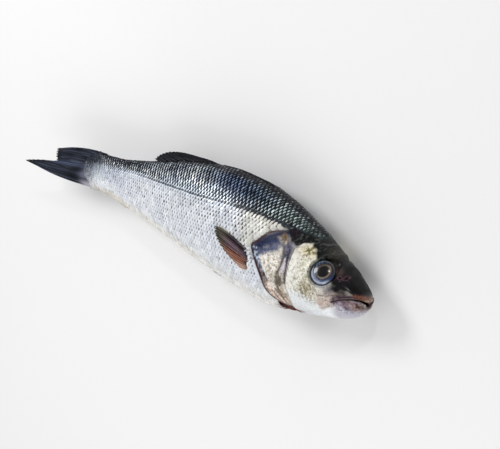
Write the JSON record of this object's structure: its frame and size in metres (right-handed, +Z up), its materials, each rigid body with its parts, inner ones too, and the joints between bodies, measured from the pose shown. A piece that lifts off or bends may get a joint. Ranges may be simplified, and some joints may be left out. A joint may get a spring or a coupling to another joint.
{
  "type": "gutted sea bass",
  "caption": "Whole gutted sea bass lying on its left flank, with parted mouth, gill covers, folded fins, forked tail and a narrow belly cut.",
  "frame": {"origin": "centre of the bounding box's base, on the surface that the fish lies on", "axes": "+X from tail to snout, +Y towards the back fins, +Z up through the flanks, right flank up"},
  "size_m": [0.4037, 0.0848, 0.0535],
  "materials": {
    "skin": "wet silver scales, blue-black back and white belly",
    "fin": "wet dark rayed membrane",
    "eye": "clear wet dome over a dark iris and a gold-ringed pupil",
    "flesh": "wet red-pink flesh at the mouth, throat and belly cut"
  },
  "bodies": {
    "root": {"fish": "skin", "right_eye": "eye", "left_eye": "eye"}
  },
  "joints": []
}
